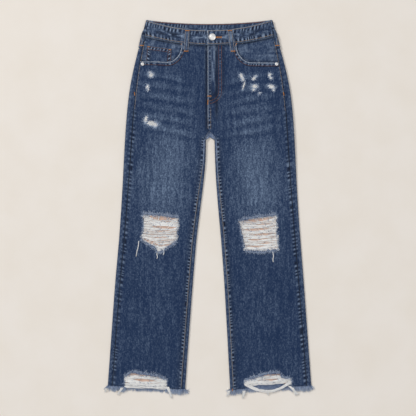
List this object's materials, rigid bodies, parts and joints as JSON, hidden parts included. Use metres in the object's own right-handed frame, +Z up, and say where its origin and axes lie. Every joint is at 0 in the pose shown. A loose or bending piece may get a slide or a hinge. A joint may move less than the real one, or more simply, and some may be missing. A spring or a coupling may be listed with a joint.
{
  "type": "ripped jeans",
  "caption": "Straight-leg blue denim jeans laid flat, with torn knees, frayed notched hems, curved front pockets, belt loops and a buttoned waistband.",
  "frame": {"origin": "on the surface the jeans lie on, under the middle of their outline", "axes": "+Y from the hems to the waist, +X to the wearer's left, +Z up out of the front"},
  "size_m": [0.554, 0.992, 0.0133],
  "materials": {
    "denim": "washed indigo twill, faded on the thighs",
    "denim_dark": "unfaded indigo twill",
    "bare_threads": "loose undyed cotton weft threads",
    "patch_cloth": "plain tan cotton behind the rips",
    "frayed_edge": "frayed blue and white threads",
    "nickel": "satin nickel",
    "zip_metal": "aged brass"
  },
  "bodies": {
    "root": {"back_panel_left": "denim", "back_panel_right": "denim", "back_pocket_left": "denim", "back_pocket_right": "denim", "back_yoke_left": "denim", "back_yoke_right": "denim", "belt_loop_back": "denim", "belt_loop_front_left": "denim", "belt_loop_front_right": "denim", "belt_loop_side_left": "denim", "belt_loop_side_right": "denim", "coin_pocket": "denim_dark", "fly_shield": "denim_dark", "fly_zip": "zip_metal", "front_panel_left": "denim", "front_panel_right": "denim", "hem_backing_left": "patch_cloth", "hem_backing_right": "patch_cloth", "hem_fringe_back_left": "frayed_edge", "hem_fringe_back_right": "frayed_edge", "hem_fringe_front_inner_left": "frayed_edge", "hem_fringe_front_inner_right": "frayed_edge", "hem_fringe_front_outer_left": "frayed_edge", "hem_fringe_front_outer_right": "frayed_edge", "hem_threads_left": "bare_threads", "hem_threads_right": "bare_threads", "knee_backing_left": "patch_cloth", "knee_backing_right": "patch_cloth", "knee_threads_left": "bare_threads", "knee_threads_right": "bare_threads", "pocket_facing_left": "denim_dark", "pocket_facing_right": "denim_dark", "pocket_rivet_left": "nickel", "pocket_rivet_right": "nickel", "waist_button": "nickel", "waistband_back": "denim", "waistband_front_left": "denim", "waistband_front_right": "denim"}
  },
  "joints": []
}
